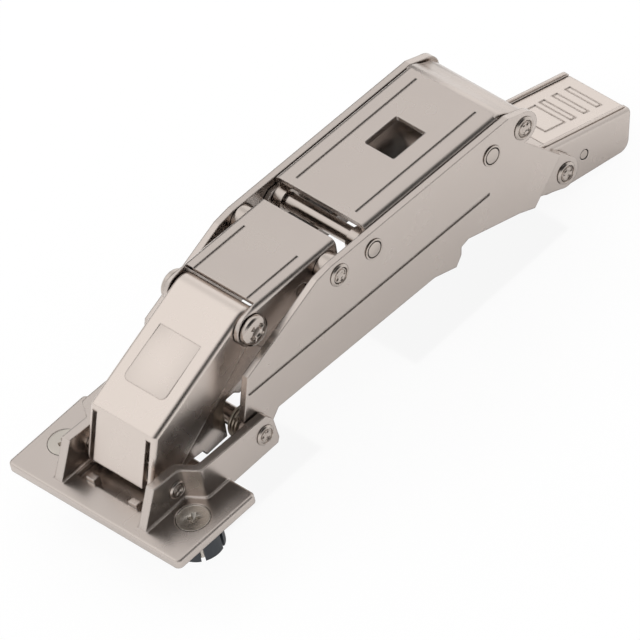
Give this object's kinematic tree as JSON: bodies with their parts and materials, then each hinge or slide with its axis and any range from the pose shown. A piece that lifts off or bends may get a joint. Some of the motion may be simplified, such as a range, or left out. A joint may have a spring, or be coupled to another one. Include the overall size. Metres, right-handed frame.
{
  "type": "wide-angle cabinet hinge",
  "caption": "Wide-angle concealed cabinet hinge: a screw-on door plate, folded links, stepped side plates under a windowed cover and a clip-on arm with a release lever.",
  "frame": {"origin": "on the face that lies on the door, midway between the two screws", "axes": "X along the pins, Y from the door plate towards the cabinet arm, Z away from the door"},
  "size_m": [0.06, 0.1812, 0.051],
  "materials": {
    "pressed_steel": "nickel plated, satin",
    "pin_steel": "nickel plated, turned",
    "spring_steel": "drawn wire",
    "screw_steel": "zinc plated",
    "dowel_plastic": "moulded"
  },
  "bodies": {
    "plate": {"door_plate": "pressed_steel", "plate_screws": "screw_steel", "dowels": "dowel_plastic", "dowel_cones": "screw_steel", "rear_axle": "pin_steel", "front_axle": "pin_steel", "closing_spring": "spring_steel"},
    "main_lever": {"side_plate_right": "pressed_steel", "side_plate_left": "pressed_steel", "cover": "pressed_steel", "front_rod": "pin_steel", "rear_rod": "pin_steel", "tail_pin": "pin_steel", "centre_pins": "pin_steel", "centre_washers": "pin_steel", "rod_sleeves": "pin_steel", "arm_axle": "pin_steel"},
    "front_link": {"front_link": "pressed_steel", "link_rivet": "pin_steel"},
    "middle_link": {"middle_link": "pressed_steel", "control_front_pin": "pin_steel"},
    "control_links": {"control_link_right": "pressed_steel", "control_link_left": "pressed_steel"},
    "arm": {"arm": "pressed_steel", "control_rear_pin": "pin_steel", "release_pin": "pin_steel", "clip_spring": "spring_steel"},
    "release_lever": {"release_lever": "pressed_steel"}
  },
  "joints": [
    {"name": "main_pivot", "type": "hinge", "parent": "plate", "child": "main_lever", "pos_m": [0, 0.0284, 0.006], "axis": [1, 0, 0], "range_deg": [-12, 75]},
    {"name": "front_pivot", "type": "hinge", "parent": "plate", "child": "front_link", "pos_m": [0, 0.0022, 0.0068], "axis": [1, 0, 0], "range_deg": [-12, 75]},
    {"name": "centre_pivot", "type": "hinge", "parent": "main_lever", "child": "middle_link", "pos_m": [0, 0.0645, 0.0298], "axis": [1, 0, 0], "range_deg": [-75, 12]},
    {"name": "control_pivot", "type": "hinge", "parent": "middle_link", "child": "control_links", "pos_m": [0, 0.056, 0.029], "axis": [1, 0, 0], "range_deg": [-9.5, 57.8]},
    {"name": "arm_pivot", "type": "hinge", "parent": "main_lever", "child": "arm", "pos_m": [0, 0.14191, -0.0036], "axis": [1, 0, 0], "range_deg": [-5.7, 34.5]},
    {"name": "release_pivot", "type": "hinge", "parent": "arm", "child": "release_lever", "pos_m": [0, 0.1506, -0.006], "axis": [1, 0, 0], "range_deg": [-5, 0], "stiffness_Nm_per_rad": 0.02}
  ],
  "couplings": [
    {"joint": "front_pivot", "follows": "main_pivot", "ratio": 1},
    {"joint": "centre_pivot", "follows": "main_pivot", "ratio": -1},
    {"joint": "control_pivot", "follows": "main_pivot", "ratio": 0.765},
    {"joint": "arm_pivot", "follows": "main_pivot", "ratio": 0.455}
  ]
}
